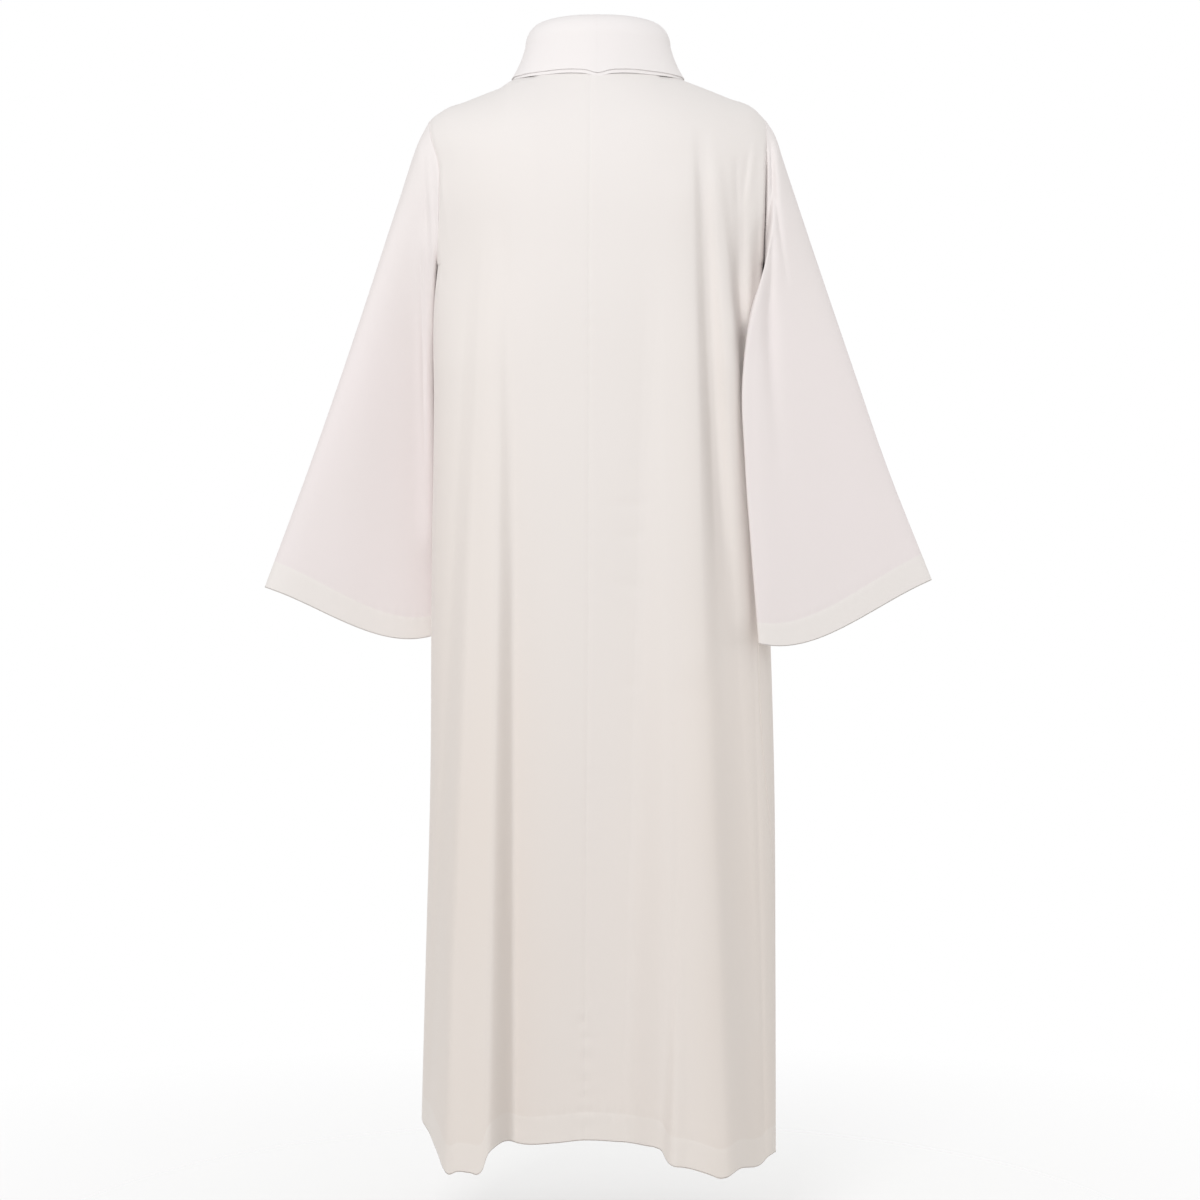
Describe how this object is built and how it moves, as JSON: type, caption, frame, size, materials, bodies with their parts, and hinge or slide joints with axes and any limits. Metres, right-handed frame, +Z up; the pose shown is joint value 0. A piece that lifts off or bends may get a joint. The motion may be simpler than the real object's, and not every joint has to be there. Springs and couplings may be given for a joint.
{
  "type": "alb robe",
  "caption": "Full-length off-white alb robe in its hollow worn form, with wide bell sleeves and a fold-over collar, open at the neck, cuffs and hem.",
  "frame": {"origin": "between the shoulders at the base of the neck, where the wearer holds the robe up", "axes": "+Z up, the wearer's left along +X and the wearer's front along -Y"},
  "size_m": [0.9346, 0.4491, 1.5736],
  "materials": {
    "back_cloth_left": "smooth matt weave with a faint sheen",
    "front_cloth_left": "smooth matt weave with a faint sheen",
    "sleeve_cloth_left": "smooth matt weave with a faint sheen",
    "collar_cloth_left": "smooth matt weave with a faint sheen",
    "under_collar_cloth_left": "smooth matt weave with a faint sheen",
    "back_cloth_right": "smooth matt weave with a faint sheen",
    "front_cloth_right": "smooth matt weave with a faint sheen",
    "sleeve_cloth_right": "smooth matt weave with a faint sheen",
    "collar_cloth_right": "smooth matt weave with a faint sheen",
    "under_collar_cloth_right": "smooth matt weave with a faint sheen"
  },
  "bodies": {
    "root": {"back_left": "back_cloth_left", "front_left": "front_cloth_left", "sleeve_left": "sleeve_cloth_left", "collar_left": "collar_cloth_left", "under_collar_left": "under_collar_cloth_left", "back_right": "back_cloth_right", "front_right": "front_cloth_right", "sleeve_right": "sleeve_cloth_right", "collar_right": "collar_cloth_right", "under_collar_right": "under_collar_cloth_right"}
  },
  "joints": []
}
